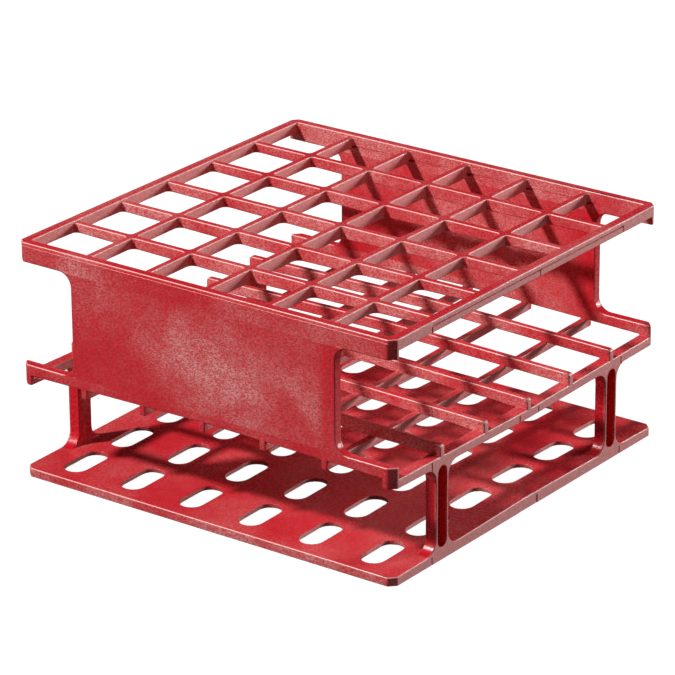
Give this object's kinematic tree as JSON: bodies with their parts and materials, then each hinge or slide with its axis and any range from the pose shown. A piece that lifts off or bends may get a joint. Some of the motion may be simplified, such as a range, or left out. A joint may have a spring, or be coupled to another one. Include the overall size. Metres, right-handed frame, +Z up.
{
  "type": "test tube rack",
  "caption": "Low square open-frame test tube rack with a top grid, an open guide shelf, front and rear walls and a slotted base.",
  "frame": {"origin": "centre of the square footprint, on the surface that the rack stands on", "axes": "+Z up, X along the front wall, +Y from the front wall to the rear wall"},
  "size_m": [0.125, 0.125, 0.069],
  "materials": {
    "red_polypropylene": "satin moulded polypropylene with faint pale flow flecks"
  },
  "bodies": {
    "root": {"base_plate": "red_polypropylene", "leg_front_left": "red_polypropylene", "leg_front_right": "red_polypropylene", "leg_rear_left": "red_polypropylene", "leg_rear_right": "red_polypropylene", "shelf_left_rim": "red_polypropylene", "shelf_right_rim": "red_polypropylene", "shelf_front_rim": "red_polypropylene", "shelf_rear_rim": "red_polypropylene", "shelf_cross_bar_1": "red_polypropylene", "shelf_cross_bar_2": "red_polypropylene", "shelf_cross_bar_3": "red_polypropylene", "shelf_cross_bar_4": "red_polypropylene", "shelf_cross_bar_5": "red_polypropylene", "shelf_guide_rib_1": "red_polypropylene", "shelf_guide_rib_2": "red_polypropylene", "shelf_guide_rib_3": "red_polypropylene", "shelf_guide_rib_4": "red_polypropylene", "shelf_guide_rib_5": "red_polypropylene", "front_wall": "red_polypropylene", "rear_wall": "red_polypropylene", "top_left_rim": "red_polypropylene", "top_right_rim": "red_polypropylene", "top_front_rim": "red_polypropylene", "top_rear_rim": "red_polypropylene", "top_rib_1": "red_polypropylene", "top_rib_2": "red_polypropylene", "top_rib_3": "red_polypropylene", "top_rib_4": "red_polypropylene", "top_rib_5": "red_polypropylene", "top_cross_rib_1": "red_polypropylene", "top_cross_rib_2": "red_polypropylene", "top_cross_rib_3": "red_polypropylene", "top_cross_rib_4": "red_polypropylene", "top_cross_rib_5": "red_polypropylene"}
  },
  "joints": []
}
